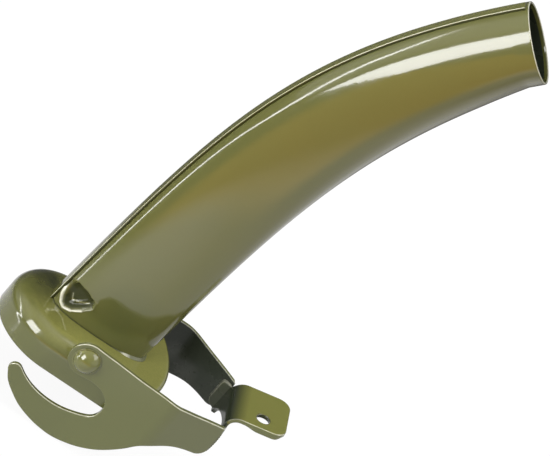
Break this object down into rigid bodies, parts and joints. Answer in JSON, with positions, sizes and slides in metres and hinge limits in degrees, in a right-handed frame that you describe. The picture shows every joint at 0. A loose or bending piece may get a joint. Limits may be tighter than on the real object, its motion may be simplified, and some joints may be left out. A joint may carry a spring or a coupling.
{
  "type": "pouring spout",
  "caption": "Curved sheet-steel fuel can pouring spout on an oval mouth cup, held to the can by a pivoting hook lever with a thumb tab.",
  "frame": {"origin": "centre of the mouth cup's open rim plane, level with the hook lever's pivot axis in X", "axes": "+Z from the can's mouth up into the spout, +X from the hooks' open side towards the thumb tab and the outlet, +Y along the lever's pivot axis"},
  "size_m": [0.1481, 0.0768, 0.314],
  "materials": {
    "olive_paint": "gloss olive-drab stoved enamel on pressed steel sheet",
    "olive_paint_inside": "thin olive-drab enamel on hidden brackets and lugs",
    "bare_steel": "plain zinc-plated steel washers",
    "gasket_rubber": "black fuel-resistant rubber",
    "brass_mesh": "perforated brass strainer disc",
    "tin_steel": "tin-plated steel of the breather and strainer frame"
  },
  "bodies": {
    "root": {"spout_tube": "olive_paint", "seam_strip": "olive_paint", "mouth_cup": "olive_paint", "mouth_gasket": "gasket_rubber", "gasket_retainer": "tin_steel", "strainer_frame": "tin_steel", "strainer_gauze": "brass_mesh", "breather_tube": "tin_steel", "breather_clips": "tin_steel", "pivot_lug_left": "olive_paint_inside", "pivot_lug_right": "olive_paint_inside", "pivot_rivet_left": "olive_paint", "pivot_rivet_right": "olive_paint", "head_washer_left": "olive_paint", "head_washer_right": "olive_paint", "spacer_washer_left": "bare_steel", "spacer_washer_right": "bare_steel"},
    "lever": {"hook_plate_left": "olive_paint", "hook_plate_right": "olive_paint", "lever_tab_bracket": "olive_paint"}
  },
  "joints": [
    {"name": "lever_pivot", "type": "hinge", "parent": "root", "child": "lever", "pos_m": [0, 0, 0.0193], "axis": [0, 1, 0], "range_deg": [-58, 20]}
  ]
}
